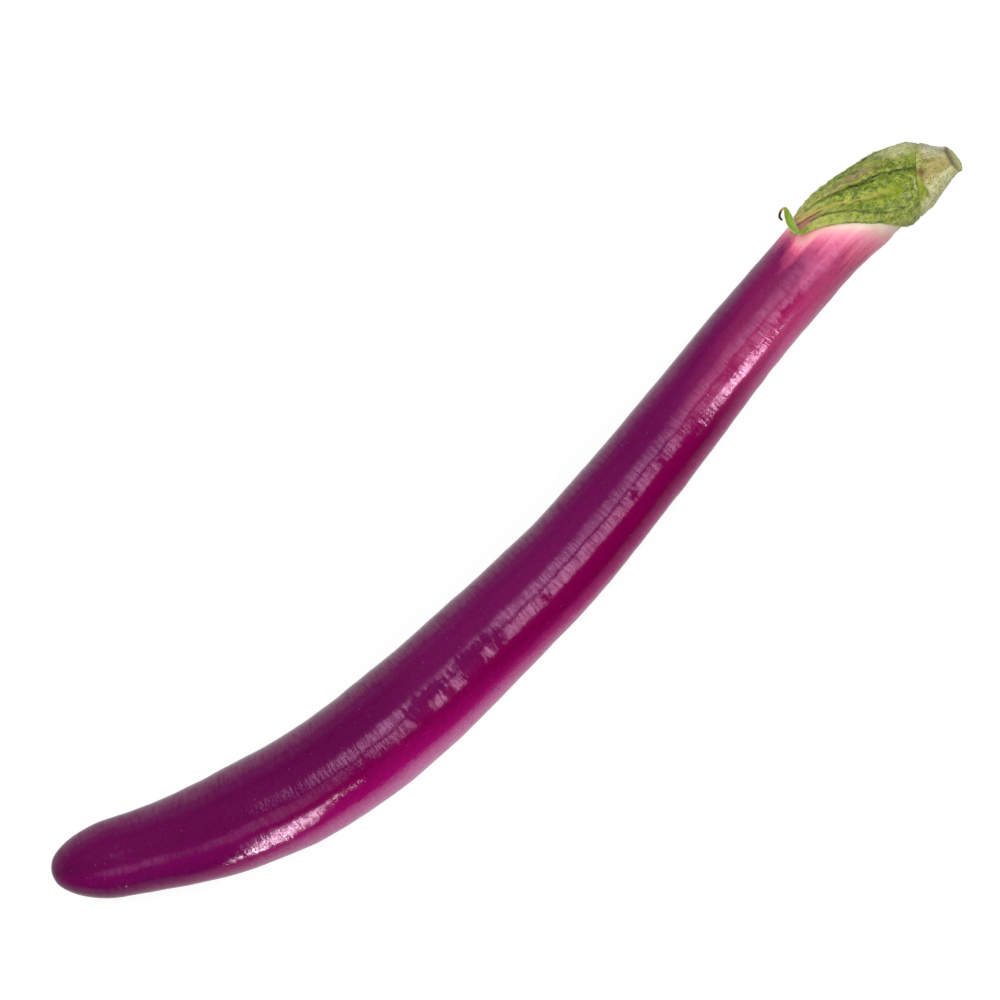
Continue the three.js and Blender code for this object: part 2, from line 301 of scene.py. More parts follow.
class Graph:
    """The node tree of a light, a world or a material, built by short calls."""

    def __init__(self, owner):
        owner.use_nodes = True
        self.tree = owner.node_tree

    def node(self, kind, inputs=None, **settings):
        made = self.tree.nodes.new(kind)
        for key, value in settings.items():
            setattr(made, key, value)
        for key, value in (inputs or {}).items():
            self.put(made.inputs[key], value)
        return made

    def put(self, socket, value):
        if isinstance(value, bpy.types.NodeSocket):
            self.tree.links.new(value, socket)
        elif value is not None:
            socket.default_value = value

    def span(self, fac, low, high, to_low=0.0, to_high=1.0, **settings):
        inputs = {"Value": fac, "From Min": low, "From Max": high, "To Min": to_low, "To Max": to_high}
        return self.node("ShaderNodeMapRange", inputs, **settings).outputs["Result"]

    def math(self, operation, *values, clamp=False):
        made = self.node("ShaderNodeMath", dict(enumerate(values)), operation=operation, use_clamp=clamp)
        return made.outputs["Value"]


class Shader(Graph):
    """A material. Its calls return output sockets, apart from wire."""

    def __init__(self, name, **constants):
        self.material = bpy.data.materials.new(name)
        super().__init__(self.material)
        self.wire(**constants)

    def wire(self, **sockets):
        for name, value in sockets.items():
            self.put(self.tree.nodes["Principled BSDF"].inputs[name.replace("_", " ")], value)

    def value(self, name):
        return self.node("ShaderNodeAttribute", attribute_name=name).outputs["Fac"]

    def vector(self, name, scale=(1, 1, 1)):
        source = self.node("ShaderNodeAttribute", attribute_name=name).outputs["Vector"]
        return self.node("ShaderNodeMapping", {"Vector": source, "Scale": scale}).outputs["Vector"]

    def noise(self, vector, scale, detail, roughness=0.5):
        inputs = {"Vector": vector, "Scale": scale, "Detail": detail, "Roughness": roughness}
        return self.node("ShaderNodeTexNoise", inputs).outputs["Fac"]

    def cells(self, vector, scale):
        return self.node("ShaderNodeTexVoronoi", {"Vector": vector, "Scale": scale}).outputs["Distance"]

    def ramp(self, fac, *stops):
        """Each stop is a position and a colour, or a grey from 0 to 1."""
        made = self.node("ShaderNodeValToRGB", {"Fac": fac})
        elements = made.color_ramp.elements
        while len(elements) < len(stops):
            elements.new(0.5)
        for element, (position, colour) in zip(elements, stops):
            element.position = position
            element.color = srgb(*colour) if isinstance(colour, tuple) else (colour, colour, colour, 1)
        return made.outputs["Color"]

    def plus(self, a, b, clamp=False):
        return self.math("ADD", a, b, clamp=clamp)

    def times(self, a, b, clamp=False):
        return self.math("MULTIPLY", a, b, clamp=clamp)

    def mix(self, fac, *sources):
        a, b = (srgb(*source) if isinstance(source, tuple) else source for source in sources)
        return self.node("ShaderNodeMix", {"Factor": fac, 6: a, 7: b}, data_type="RGBA").outputs[2]

    def layers(self, base, *layers):
        """Each layer is a mask and a colour, laid over what is below it."""
        for mask, colour in layers:
            base = self.mix(mask, base, colour)
        return base

    def bump(self, height, distance, strength, below=None):
        inputs = {"Height": height, "Distance": distance, "Strength": strength, "Normal": below}
        return self.node("ShaderNodeBump", inputs).outputs["Normal"]


# ---- The fruit ----

FRUIT_RINGS, FRUIT_SIDES = 440, 220
CROWDING = 0.8  # how the rings gather towards both ends
SCAR_DEPTH, SCAR_RADIUS = 0.35, 1.1  # a small dimple at the blossom end
UNDERSIDE, UNDERSIDE_WIDTH = 0.75 * TURN, 0.6  # stays even, so that it keeps its three flats
NECK_REACH = 130  # how far back from the cut stem the calyx's margin can matter
FAR_OFF = 90.0  # stands for the distance from the margin beyond that
# Strength of the pink tone by side, and what it lacks along the fruit.
PINK_TONE = [(108, 0), (116, 0.15), (132, 0.45), (147, 0.8), (161, 1), (180, 1), (215, 0.8), (255, 0)]
PINK_TONE_LACKS = [(20, 0.7), (45, 0.5), (62, 0.25), (88, 0.05), (115, 0), (145, 0.15), (175, 0.32),
               (205, 0.55), (235, 0.6)]
# How far the pale rim under the calyx runs out, by side.
RIM_REACH = [
    (0, 0.9), (24, 0.85), (33, 0.7), (38, 0.52), (47, 0.52), (54, 0.9), (62, 0.9), (72, 0.65),
    (87, 0.85), (102, 1.35), (117, 1.4), (132, 1.9), (150, 2.3), (170, 2.5), (230, 1.6), (360, 1.2),
]
# How far from the calyx the rosy tone starts to fade and is gone, by flank from -1 to 1.
ROSY_FROM = [(-0.9, 6), (-0.5, 22), (0, 48), (0.7, 8)]
ROSY_TO = [(-0.9, 26), (-0.5, 62), (0, 90), (0.7, 68)]
# The bare skin between two sepals: from and to a distance back, start angle, half width.
WEDGE_FROM, WEDGE_TO, WEDGE_ANGLE, WEDGE_WIDTH = 44.4, 53.5, 106, 2.3
# Patches of duller skin, where highlights break: distance along, half length, side, half width.
DULL_PATCHES = [
    (127.2, 4.0, 103, 9), (137.3, 1.9, 104, 10), (148.2, 5.2, 103, 9), (159.4, 2.6, 103, 9),
    (179.8, 1.9, 103, 8), (220.3, 1.7, 103, 8), (233.3, 1.1, 103, 8), (131, 8.5, 89, 8), (153.5, 11, 89, 8),
    (105, 7, 107, 10), (49, 12, 126, 15), (97, 9, 125, 8), (246, 9, 113, 7), (297, 9, 111, 7),
]


def calyx_columns(per_lobe):
    """The calyx's ribs: start angle, reach, height and place across the lobe of each column."""
    columns = []
    for index, lobe in enumerate(LOBES):
        before = LOBES[index - 1]
        across = np.sin(np.linspace(-1, 1, per_lobe, endpoint=False) * math.pi / 2)
        off = np.abs(across)
        start = lobe["peak"] + off * (np.where(across < 0, lobe["first"], lobe["last"]) - lobe["peak"])
        notch = np.where(across < 0, before["notch"], lobe["notch"])
        reach = notch + (lobe["tip"] - notch) * (1 - off ** lobe["blunt"])
        lap = np.where(across > 0, lobe["lap"] * smoothstep(off, LAP_FROM, LAP_TO), 0)
        height = RIB_HEIGHT * (1 - off) - RIB_VALLEY * off**4 + lap
        columns.append(np.stack([start, reach, height, across, np.full(per_lobe, index)]))
    start, reach, height, across, index = np.concatenate(columns, axis=1)
    start = (start + 180) % 360 - 180
    return np.radians(start), reach, height, across, index


def from_margin(s, angle):
    """Distance in millimetres from each point of the neck to the calyx's margin."""
    start, reach, *_ = calyx_columns(60)
    edge_angle = swept(start, reach)
    edge = around(LENGTH - reach, edge_angle, fruit_radius(LENGTH - reach, edge_angle))
    tree = KDTree(len(edge))
    for i, point in enumerate(edge):
        tree.insert(point, i)
    tree.balance()
    points = around(s, angle, fruit_radius(s, angle)).reshape(-1, 3)
    near = np.full(len(points), FAR_OFF)
    for i in np.flatnonzero(s.ravel() > LENGTH - NECK_REACH):
        near[i] = tree.find(points[i])[2]
    return near.reshape(s.shape)


def make_fruit():
    rng = np.random.default_rng(5)
    end = LENGTH - FRUIT_END
    t = np.arange(1, FRUIT_RINGS) / FRUIT_RINGS
    s = end * (t - CROWDING * np.sin(TURN * t) / TURN)
    s, angle = np.meshgrid(s, round_angles(FRUIT_SIDES), indexing="ij")
    open_skin = smoothstep(s, 2, 18) * smoothstep(end - s, 12, 34)
    open_skin = open_skin * (1 - bell(angle - UNDERSIDE, UNDERSIDE_WIDTH))
    uneven = 0.045 * wavy(rng, s, angle, 16, 40, 4, 30) + 0.02 * wavy(rng, s, angle, 7, 14, 9, 50)
    radius = fruit_radius(s, angle) + uneven * open_skin
    points = around(s + SCAR_DEPTH * bell(s, SCAR_RADIUS), angle, radius)
    points[..., 2] = np.maximum(points[..., 2], 0)
    side, over = np.degrees(angle), -np.cos(angle)
    margin = from_margin(s, angle)
    back = np.linspace(WEDGE_FROM, WEDGE_TO, 14)
    bare = around(LENGTH - back, swept(math.radians(WEDGE_ANGLE), back), fruit_radius(LENGTH - back, 1.6))
    from_bare = np.min(np.linalg.norm(points[:, :, None] - bare, axis=-1), axis=-1)
    dull = sum(bell(s - at, half) * bell(side - mid, wide) for at, half, mid, wide in DULL_PATCHES)
    attributes = {
        "place": flatten([0, 0, 0], straightened(s, angle, np.maximum(radius, 0.01)), [end, 0, 0]),
        "margin": field(margin, FAR_OFF),
        "flank": field(over),
        "dull": field(dull),
        "pale": field(margin / reading(side, RIM_REACH), FAR_OFF),
        "rosy": field(1 - smoothstep(margin, reading(over, ROSY_FROM), reading(over, ROSY_TO)), 0, 1),
        "wedge": field(bell(from_bare, WEDGE_WIDTH)),
        "pink_tone": field(reading(side, PINK_TONE) - reading(s, PINK_TONE_LACKS)),
        "end": field(1 - smoothstep(s, 12, 36), 1),
        "tip": field(1 - smoothstep(s, 45, 95), 1),
    }
    points = flatten(around(SCAR_DEPTH, 0, 0), points, around(end, 0, 0))
    faces, uv = closed_grid(FRUIT_RINGS, FRUIT_SIDES)
    return make_object("fruit_skin", points, faces, attributes, uv)


def fruit_material():
    sh = Shader("eggplant_skin", IOR=1.45, Specular_Tint=(1, 0.5, 0.8, 1))
    place, flank, margin = sh.vector("place"), sh.value("flank"), sh.value("margin")
    broad = sh.noise(sh.vector("place", (0.25, 1, 1)), 0.05, 2)
    streaks = sh.noise(sh.vector("place", (0.07, 1, 1)), 0.5, 3, 0.6)
    grain = sh.noise(sh.vector("place", (0.6, 1, 1)), 1.5, 3, 0.7)

    purple = sh.ramp(broad, (0.3, (101, 10, 75)), (0.7, (113, 18, 84)))
    low = sh.mix(sh.value("tip"), (134, 0, 78), (132, 12, 98))
    skin = sh.mix(sh.span(flank, 0.0, 0.4), purple, low)
    # A magenta tone, pink at its strongest between sides 160 and 180, low on the inner bend.
    pink_tone = sh.plus(sh.value("pink_tone"), sh.span(grain, 0.3, 0.7, -0.04, 0.04))
    skin = sh.layers(
        skin, (sh.span(pink_tone, 0.0, 0.5), (188, 14, 124)), (sh.span(pink_tone, 0.45, 1.0), (255, 148, 210)))
    # Towards the calyx the colour thins to rose, then cream at the margin, in lengthwise streaks.
    rose = sh.ramp(
        sh.span(flank, -1, 1), (0.05, (128, 8, 86)), (0.3, (136, 34, 90)), (0.5, (150, 38, 92)),
        (0.64, (168, 28, 94)), (0.75, (200, 60, 120)), (0.86, (228, 88, 148)), (0.97, (255, 128, 190)))
    pale = sh.times(sh.value("pale"), sh.span(streaks, 0.25, 0.75, 1.35, 0.7))
    rim = sh.ramp(
        sh.span(pale, 0, 10), (0.0, (255, 246, 224)), (0.11, (255, 226, 204)), (0.2, (255, 192, 190)),
        (0.33, (255, 154, 176)), (0.5, (238, 112, 148)), (0.75, (198, 76, 122)))
    warm = sh.times(sh.span(flank, -0.5, 0.0, 0.8, 0.0), sh.span(pale, 1, 4, 1.0, 0.0))
    rim = sh.mix(warm, rim, (250, 150, 164))
    wedge = sh.ramp(streaks, (0.35, (160, 104, 84)), (0.5, (206, 150, 122)), (0.62, (196, 116, 132)))
    # Fine darker grain and a few pale specks, more of them near the blossom end.
    away = sh.span(pale, 1, 7)
    specks = sh.times(sh.span(sh.cells(place, 0.5), 0.07, 0.15, 0.45, 0.0), sh.value("end"))
    skin = sh.layers(
        skin,
        (sh.times(sh.value("rosy"), sh.span(streaks, 0.3, 0.7, 0.75, 1.2), True), rose),
        (sh.span(pale, 7, 14, 1.0, 0.0), rim),
        (sh.span(sh.value("wedge"), 0.25, 0.6), wedge),
        (sh.times(sh.span(grain, 0.3, 0.55, 0.3, 0.0), away), (70, 0, 45)),
        (sh.times(sh.span(grain, 0.58, 0.75, 0.0, 0.15), away), (190, 30, 130)),
        (sh.span(sh.cells(place, 0.32), 0.03, 0.06, 0.5, 0.0), (200, 120, 170)),
        (specks, (190, 84, 150)),
    )

    # Crosswise ripples comb the highlights. Near the neck they are fainter and the gloss is softer.
    by_neck = lambda near, away: sh.span(margin, 62, 88, near, away)
    ripple = sh.noise(sh.vector("place", (1, 0.2, 0.2)), 1.05, 3, 0.7)
    normal = sh.bump(ripple, 0.00012, by_neck(0.62, 0.85))
    normal = sh.bump(sh.noise(place, 2.4, 2, 0.6), 0.00003, 0.5, normal)
    ragged = sh.noise(sh.vector("place", (1, 0.3, 0.3)), 0.7, 3, 0.7)
    dull = sh.plus(sh.value("dull"), sh.span(ragged, 0.3, 0.7, -0.5, 0.5))
    shine = sh.times(sh.span(dull, 0.3, 0.7, 0.66, 0.02), sh.span(ripple, 0.38, 0.6, by_neck(0.5, 0.35), 1.1))
    roughness = sh.math("MAXIMUM", sh.span(margin, 4, 34, 0.34, 0.11), by_neck(0.14, 0.11))
    sh.wire(Base_Color=skin, Normal=normal, Roughness=roughness, Specular_IOR_Level=shine)
    return sh.material


# ---- The calyx ----

LOBE_COLUMNS, OUTER_RINGS, INNER_RINGS = 44, 120, 26
FOLD = 1.4  # degrees by which a lapping edge overhangs the next lobe
# Lines that run back from the crown: distance back, start angle.
TAN_RIB = [(18, 90), (24, 92), (28, 95), (33, 100), (37, 103), (42, 102), (54, 101)]
LOW_CREASE = [(18, 134), (28, 128), (33, 123), (38, 118.5), (44, 116), (54, 117)]
HIGH_CREASE = [(13, 84), (16.7, 76), (20, 70), (24, 66.5), (28, 66.5), (34, 72), (40, 75), (49, 70)]
# Marks on the skin of the calyx: distance back, start angle, half length, half width, strength.
CALYX_MARKS = {
    "dry": [(14.5, 24, 4.5, 22, 1.2), (20, 26, 3.5, 12, 0.7), (17.5, 43, 2.5, 7, 0.6)],
    "patch": [(29, 50, 4.5, 8, 1), (33, 57, 3, 6, 0.8), (38.5, 63, 3.5, 6, 0.9)],
    "fresh": [(24, 97, 3.4, 11, 1), (28, 102, 5, 8, 0.5), (16.3, 112, 1.6, 15, 1)],
    "lime": [(20, 148, 6, 11, 1), (26.5, 149, 3, 6, 0.9), (40, 131, 9, 6, 0.7), (29, 134, 5, 7, 0.4),
             (20.5, 122, 3, 5, 0.4), (26, 117, 3, 4, 0.3)],
    "brown": [(14.6, 88, 1.4, 6, 1), (39.6, 76, 1.1, 3, 0.9), (21.4, 117, 0.9, 3, 0.8),
              (19.8, 161, 0.9, 6, 1), (22.5, 50, 3, 5, 0.4)],
    "pink_tone": [(51, 92, 3.5, 26, 1.3)],
    "teal": [(20.6, 132, 1, 6, 0.9), (22.5, 106, 1.6, 5, 0.35), (19, 66, 3, 3, 0.4), (35, 82, 9, 6, 0.35),
             (25, 78, 6, 5, 0.3), (33, 112, 8, 3.5, 0.35)],
}


def make_calyx():
    """Makes the piece; returns it with its outer points and their distances back, for the hairs."""
    rng = np.random.default_rng(11)
    start, reach, height, across, lobe = calyx_columns(LOBE_COLUMNS)
    degrees, off = np.degrees(start), np.abs(across)
    laps = np.array([item["lap"] for item in LOBES])[lobe.astype(int)]
    folded = start + np.radians(FOLD) * np.where(across > 0, smoothstep(off, 0.75, 1) * (laps > 0), 0)
    apex = FRUIT_END - SEAM
    crown = crown_at(start) + 0.05
    bed = lambda back, angle: fruit_radius(LENGTH - back - 0.25, angle) + 0.12

    # Outside, from the crown to the margin.
    t = np.linspace(0, 1, OUTER_RINGS)[:, None]
    back = crown + (reach - crown) * t
    edge = reach - back
    angle = swept(folded, back)
    low, high = bed(back, angle) + WALL, cap_radius(back, angle)
    body = 0.5 * (low + high + np.sqrt((low - high) ** 2 + 0.15**2)) + grown_rib(height, back, crown)
    body = body - 0.35 * (1 - rounded(back - crown, 1.6))
    flat = straightened(LENGTH - back, angle, body)

    def from_line(line):
        """Signed distance round the calyx from a line."""
        return (angle - swept(np.radians(reading(back, line)), back)) * body

    tan, low_dark, high_dark = from_line(TAN_RIB), from_line(LOW_CREASE), from_line(HIGH_CREASE)
    front = (start > math.radians(30)) & (start < math.radians(160))
    in_front = lambda values: np.where(front, values, 0)
    spot = lambda at, side, long, wide: bell(back - at, long) * bell(degrees - side, wide)
    run = smoothstep(back, 22, 31)
    tan_width = 0.4 + 0.4 * smoothstep(back, 40, 50)
    low_crease = smoothstep(back, 25, 31) * smoothstep(54 - back, 0, 6)
    high_crease = smoothstep(back, 14, 17) * smoothstep(48 - back, 0, 4)
    midrib = 0.22 * bell(off, 0.09) * smoothstep(back, 19, 28) * smoothstep(edge, 0, 6)
    tan_ridge = in_front(bell(tan, tan_width) - 0.6 * bell(tan + 1.1, 0.5) - 0.6 * bell(tan - 1.2, 0.5))
    groove = in_front(bell(low_dark, 0.4) * low_crease + bell(high_dark, 0.4) * high_crease)
    pleat = in_front(bell(high_dark + 0.9, 0.5) * high_crease - bell(low_dark - 0.9, 0.6) * low_crease)
    steps = (back - 7.5 * off) / 2.6 + 0.37 * lobe
    veins = bell(steps - np.round(steps), 0.13) * smoothstep(off, 0.06, 0.2) * smoothstep(1 - off, 0.02, 0.2)
    fold = np.cos(TURN * (degrees / 5 + 0.12 * (back - 22) + 0.25 * np.sin(back * 1.7)))
    patchy = smoothstep(lumpy(rng, flat, 1.5, 4, 40), -0.5, 1)
    folds = np.maximum(fold, -0.4) * spot(21.8, 108, 2.6, 13) * patchy
    ridges = np.cos(TURN * (np.radians(degrees) * body / 1.7 + 0.1 * np.sin(back / 2.3)))
    brow = bell(back - 17.6 - 0.5 * np.sin(degrees / 4), 0.35) * bell(degrees - 106, 15)
    relief = (
        midrib + 0.34 * tan_ridge * run - 0.45 * groove + 0.05 * pleat
        + 0.08 * veins * smoothstep(back, 20, 26) + 0.2 * folds + 0.3 * brow
        + 0.04 * ridges * smoothstep(back, 20, 30)
        + 0.11 * lumpy(rng, flat, 2.5, 6, 60) + 0.08 * lumpy(rng, flat, 0.9, 2, 110)
    ) * smoothstep(back - crown, 0.2, 3) * smoothstep(edge, -0.5, 2)
    inner_at_edge = body - WALL * 0.75
    outer = inner_at_edge + (body + relief - inner_at_edge) * rounded(edge, 1.1)
    outside = around(LENGTH - back, angle, outer)

    # Inside, from the margin to the apex.
    t = (np.arange(1, INNER_RINGS + 1) / INNER_RINGS)[:, None]
    in_back = apex + (reach - apex) * (1 - t) ** 1.6
    in_back = in_back * (1 - 1e-3 * t)
    in_angle = swept(folded, in_back)
    in_bed = bed(in_back, in_angle)
    full = np.maximum(in_bed + WALL, cap_radius(in_back, in_angle)) + grown_rib(height, in_back, crown)
    flare = np.maximum(0, full - 0.75 * WALL - in_bed) * smoothstep(in_back, reach - FLARE, reach)
    inner = np.where(t < 1, in_bed + flare, 0.3)
    inside = around(LENGTH - in_back, in_angle, inner)

    # What the material reads: a value outside, and one that holds for the whole inside.
    outer_only = lambda values, inner_value=0: np.concatenate(
        [np.broadcast_to(values, back.shape), np.full(in_back.shape, float(inner_value))])
    # Painted shade: dark lines in the two creases, and along the edges that a lapping lobe overhangs.
    crease_shade = in_front(np.maximum(bell(low_dark, 0.36) * low_crease, bell(high_dark, 0.4) * high_crease))
    shade_under_lap = np.where(across < 0, bell(1 - off, 0.05) * (np.roll(laps, LOBE_COLUMNS) > 0), 0) * (1 - front)
    fields = {
        "rim": outer_only(edge),
        "tan": outer_only(in_front(bell(tan, tan_width * 1.1) * run)),
        # Painted shade beside the tan rib and along one side of each crease.
        "shade": outer_only(in_front(bell(tan - 1.2, 0.6) * run + bell(high_dark - 0.8, 0.8) * high_crease
                                     + bell(low_dark + 0.8, 0.7) * low_crease)),
        # Painted highlight along the other side of each crease.
        "light": outer_only(in_front(bell(high_dark + 0.75, 0.4) * high_crease
                                     + bell(low_dark - 0.8, 0.5) * low_crease)),
        "crease_shade": outer_only(np.maximum(crease_shade, shade_under_lap * smoothstep(back, 17, 24))),
        "pale": outer_only(smoothstep(back, 37, 46), 0.5),
        # Painted highlights: pale glints on the crests of the shoulder's folds and along its brow.
        "painted_glint": outer_only(np.maximum(np.maximum(folds, 0) * 0.8, brow)),
        "shoulder": outer_only(back - crown, 9),
        "vein": outer_only(np.maximum(veins, bell(off, 0.07))),
    }
    for name, marks in CALYX_MARKS.items():
        fields[name] = outer_only(sum(share * spot(*mark) for *mark, share in marks))
    attributes = {name: field(rows, rows[0, 0], rows[-1, 0]) for name, rows in fields.items()}
    place = np.concatenate([flat, straightened(LENGTH - in_back, in_angle, inner)])
    attributes["place"] = flatten([LENGTH - 17, 0, 0], place, [LENGTH - apex, 0, 0])
    arc = angle * body
    weave = np.stack([outer_only(v) for v in (arc + 0.55 * back, 0.14 * back, arc - 0.6 * back)], -1)
    attributes["weave"] = flatten([0, 0, 0], weave, [0, 0, 0])
    rows = np.concatenate([outside, inside])
    points = flatten(around(LENGTH - CROWN_BACK - 0.1, 0, 0), rows, around(LENGTH - apex, 0, 0))
    faces, uv = closed_grid(len(rows) + 1, rows.shape[1])
    return make_object("calyx_sepals", points, faces, attributes, uv), outside, back


def calyx_material():
    sh = Shader("sepal_green", IOR=1.45)
    place = sh.vector("place")
    mottle = sh.noise(place, 0.6, 4, 0.65)
    fine = sh.noise(sh.vector("place", (0.4, 1, 1)), 2.0, 4, 0.7)
    # Short strokes that slant both ways, like flattened down.
    slants = (sh.noise(sh.vector("weave", pick), 1.9, 2, 0.6) for pick in ((1, 1, 0), (0, 1, 1)))
    strokes = sh.math("MAXIMUM", *slants)
    shown = lambda name, source, low, high: sh.times(
        sh.value(name), sh.span(source, 0.35, 0.6, low, high), True)
    green = sh.layers(
        sh.ramp(mottle, (0.38, (72, 104, 0)), (0.5, (138, 162, 14)), (0.61, (204, 212, 92))),
        (sh.span(fine, 0.37, 0.49, 0.9, 0.0), (54, 80, 0)),
        (shown("teal", mottle, 0.6, 1.0), (50, 92, 18)),
        # painted shade beside the tan rib and the creases
        (shown("shade", mottle, 0.15, 0.4), (60, 84, 0)),
        (shown("pale", mottle, 0.3, 0.9), (204, 206, 106)),
        (sh.times(sh.value("vein"), 0.3), (178, 190, 96)),
        (shown("lime", mottle, 0.4, 0.95), (196, 202, 96)),
        (sh.span(strokes, 0.58, 0.7, 0.0, 0.75), (206, 216, 120)),
        (shown("fresh", mottle, 0.6, 1.0), (156, 172, 0)),
        (shown("patch", fine, 0.1, 1.0), (188, 150, 120)),
        (shown("dry", fine, 0.25, 1.0), (240, 238, 176)),
        # painted highlight along one side of each crease
        (shown("light", fine, 0.1, 0.4), (212, 210, 120)),
        (shown("tan", mottle, 0.7, 1.0), (208, 186, 96)),
        (shown("pink_tone", fine, 0.5, 1.0), (224, 172, 134)),
        (sh.span(sh.value("rim"), 0.1, 1.5, 0.85, 0.0), (212, 200, 100)),
        # painted shade in the creases and under lapping edges
        (shown("crease_shade", fine, 1.0, 0.7), (34, 46, 2)),
        (shown("brown", fine, 0.4, 1.0), (108, 70, 14)),
        # painted highlights on the shoulder's folds and brow
        (shown("painted_glint", fine, 0.3, 1.0), (230, 232, 190)),
    )
    height = sh.plus(sh.noise(place, 1.6, 4, 0.65), sh.times(strokes, 0.6))
    sh.wire(Base_Color=green, Normal=sh.bump(height, 0.0005, 1.0),
            Roughness=sh.span(sh.value("shoulder"), 0, 8, 0.28, 0.5))
    return sh.material


# ---- The curled tip of the third lobe ----

CURL_RINGS, CURL_SIDES, CURL_STEPS = 90, 16, 40


def make_curl():
    path = catmull_rom(np.array([beside(LENGTH - b, a, h) for b, a, h, _ in CURL]), CURL_STEPS)
    width = catmull_rom(CURL[:, 3:], CURL_STEPS)[:, 0]
    pick = np.linspace(0, 1, CURL_RINGS - 1)
    steps = np.linspace(0, 1, len(path))
    centre = np.stack([np.interp(pick, steps, path[:, k]) for k in range(3)], -1)
    tapered = rounded(1 - pick + 0.004, 0.06)
    wide = np.interp(pick, steps, width) * tapered * (0.35 + 0.75 * smoothstep(pick, 0, 0.3))
    tangent = unit(np.gradient(centre, axis=0))
    flat = unit(np.cross([0, 0, 1], tangent))
    over = np.cross(tangent, flat)
    twist = np.radians(8 + 22 * smoothstep(pick, 0.3, 0.8))[:, None]
    flat, over = flat * np.cos(twist) + over * np.sin(twist), over * np.cos(twist) - flat * np.sin(twist)
    turn = -round_angles(CURL_SIDES)
    thick = CURL_THICKNESS / 2 * (0.75 - 0.3 * pick) * tapered
    cupped = 0.35 * wide[:, None] * np.cos(turn) ** 2
    rows = (
        centre[:, None] + flat[:, None] * (wide[:, None] * np.cos(turn))[..., None]
        + over[:, None] * (thick[:, None] * np.sin(turn) + cupped - 0.15)[..., None]
    )
    points = flatten(centre[:1], rows, centre[-1:])
    attributes = {
        "share": field(np.broadcast_to(pick[:, None], rows.shape[:2]), 0, 1),
        "border": field(np.broadcast_to(np.abs(np.cos(turn)), rows.shape[:2]), 1, 1),
        "place": points,
    }
    faces, uv = closed_grid(CURL_RINGS, CURL_SIDES)
    return make_object("calyx_curl", points, faces, attributes, uv)


def curl_material():
    sh = Shader("sepal_tip", Roughness=0.5, IOR=1.45)
    fine = sh.noise(sh.vector("place"), 2.0, 3, 0.6)
    share = sh.plus(sh.value("share"), sh.span(fine, 0.3, 0.7, -0.04, 0.04))
    colour = sh.layers(
        sh.mix(sh.span(fine, 0.3, 0.7), (100, 136, 14), (160, 186, 70)),
        (sh.span(share, 0.02, 0.22, 0.8, 0.0), (138, 156, 36)),
        (sh.span(sh.value("border"), 0.82, 0.96, 0.0, 0.85), (222, 226, 160)),
        (sh.span(share, 0.6, 0.68), (214, 160, 84)),
        (sh.span(share, 0.72, 0.78), (60, 42, 26)),
    )
    sh.wire(Base_Color=colour, Normal=sh.bump(fine, 0.0001, 0.5))
    return sh.material


# ---- Prickles and hairs ----

SPIKE_MIDDLE, SPIKE_TAPER = 0.55, 0.6  # where a spike's middle ring lies, and how thick it is there
HAIRS = 2400
BARE_RINGS = 6  # rings at the crown that grow no hairs


def spikes(name, roots, tips, radii, sides, bend, **values):
    """Tapered, slightly bent spikes in one mesh; each has its root, two rings and its point."""
    count = len(roots)
    axis = tips - roots
    aside = unit(np.cross(axis, [0.3, 0.5, 0.81]))
    other = unit(np.cross(axis, aside))
    turn = round_angles(sides)
    circle = aside[:, None] * np.cos(turn)[:, None] + other[:, None] * np.sin(turn)[:, None]
    first = roots[:, None] + circle * radii[:, None, None]
    middle = roots + axis * SPIKE_MIDDLE + aside * (bend * np.linalg.norm(axis, axis=1))[:, None]
    second = middle[:, None] + circle * radii[:, None, None] * SPIKE_TAPER
    points = np.concatenate([roots[:, None], first, second, tips[:, None]], axis=1)
    each = 2 * sides + 2
    faces = []
    for o in range(0, count * each, each):
        for k in range(sides):
            n = (k + 1) % sides
            faces.append((o, o + 1 + n, o + 1 + k))
            faces.append((o + 1 + k, o + 1 + n, o + 1 + sides + n, o + 1 + sides + k))
            faces.append((o + 1 + sides + k, o + 1 + sides + n, o + each - 1))
    share = np.tile(np.r_[0, np.zeros(sides), np.full(sides, SPIKE_MIDDLE), 1], count)
    attributes = {"share": share, **{key: np.repeat(value, each) for key, value in values.items()}}
    return make_object(name, points, faces, attributes)


def make_prickles():
    back, degrees, length = np.array(PRICKLES).T
    angle = np.radians(degrees)
    skin = cap_radius(back, angle)
    roots = around(LENGTH - back, angle, skin - PRICKLE_ROOT)
    tips = around(LENGTH - back - PRICKLE_LEAN * length, angle, skin + PRICKLE_RISE * length)
    same = np.ones(len(roots))
    return spikes("calyx_prickles", roots, tips, PRICKLE_RADIUS * same, 12, 0.05 * same)


def prickle_material():
    sh = Shader("prickle_tan", Roughness=0.45, IOR=1.45)
    colour = sh.ramp(sh.value("share"), (0.0, (142, 148, 70)), (0.5, (178, 150, 84)), (1.0, (120, 70, 36)))
    sh.wire(Base_Color=colour)
    return sh.material


